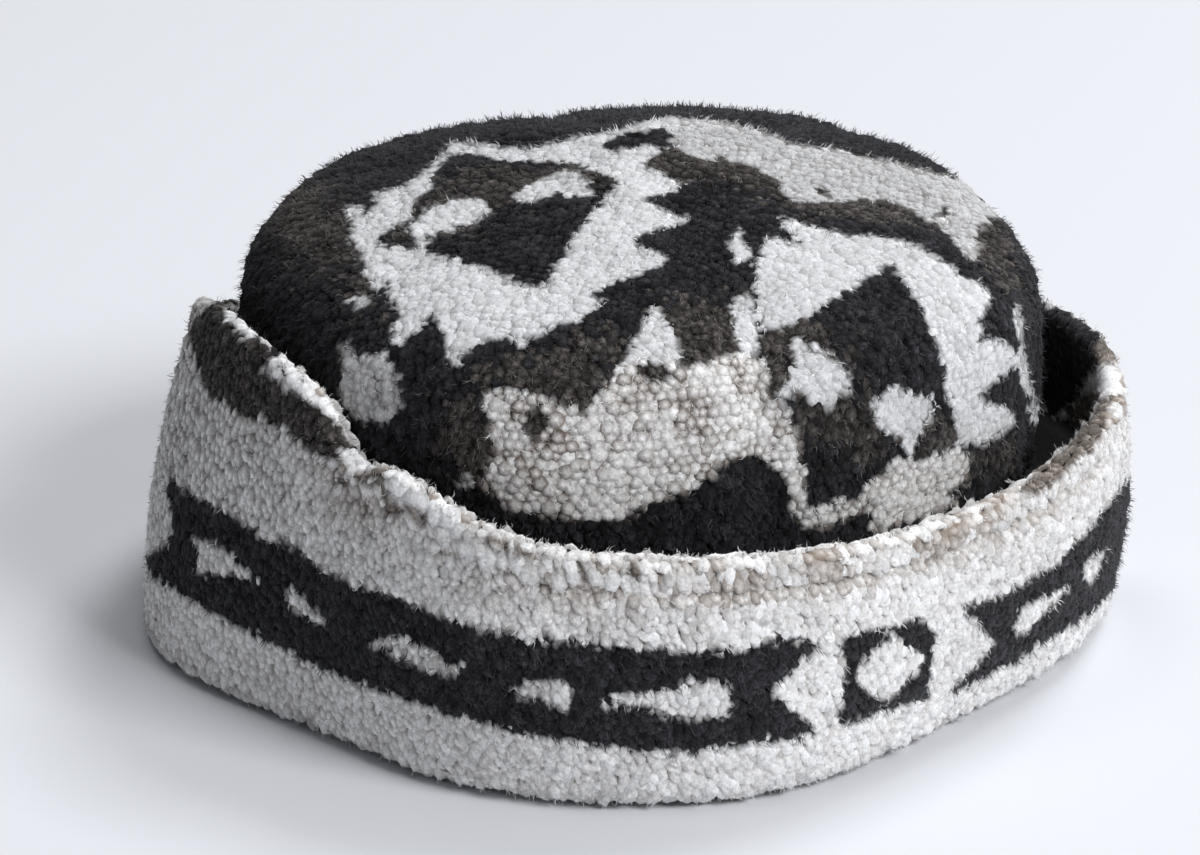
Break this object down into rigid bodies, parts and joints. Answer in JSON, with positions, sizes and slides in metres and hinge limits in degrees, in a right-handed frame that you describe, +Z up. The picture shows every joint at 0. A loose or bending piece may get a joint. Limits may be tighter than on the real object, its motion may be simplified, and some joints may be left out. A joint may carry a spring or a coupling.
{
  "type": "fleece earflap cap",
  "caption": "Soft fleece cap with a low sewn-panel crown and a deep earflap band folded up around it, open below for the head.",
  "frame": {"origin": "centre of the footprint, on the surface that the cap rests on", "axes": "+Z up, the front of the cap towards -Y, the wearer's right ear towards -X"},
  "size_m": [0.2336, 0.2184, 0.1102],
  "materials": {
    "crown_fleece": "curly pile fleece, charcoal, brown and white",
    "band_fleece": "curly pile fleece, cream with a charcoal stripe"
  },
  "bodies": {
    "root": {"crown_panel_front_right": "crown_fleece", "crown_panel_side_right": "crown_fleece", "crown_panel_back_right": "crown_fleece", "crown_panel_back_left": "crown_fleece", "crown_panel_side_left": "crown_fleece", "crown_panel_front_left": "crown_fleece", "earflap_band": "band_fleece"}
  },
  "joints": []
}
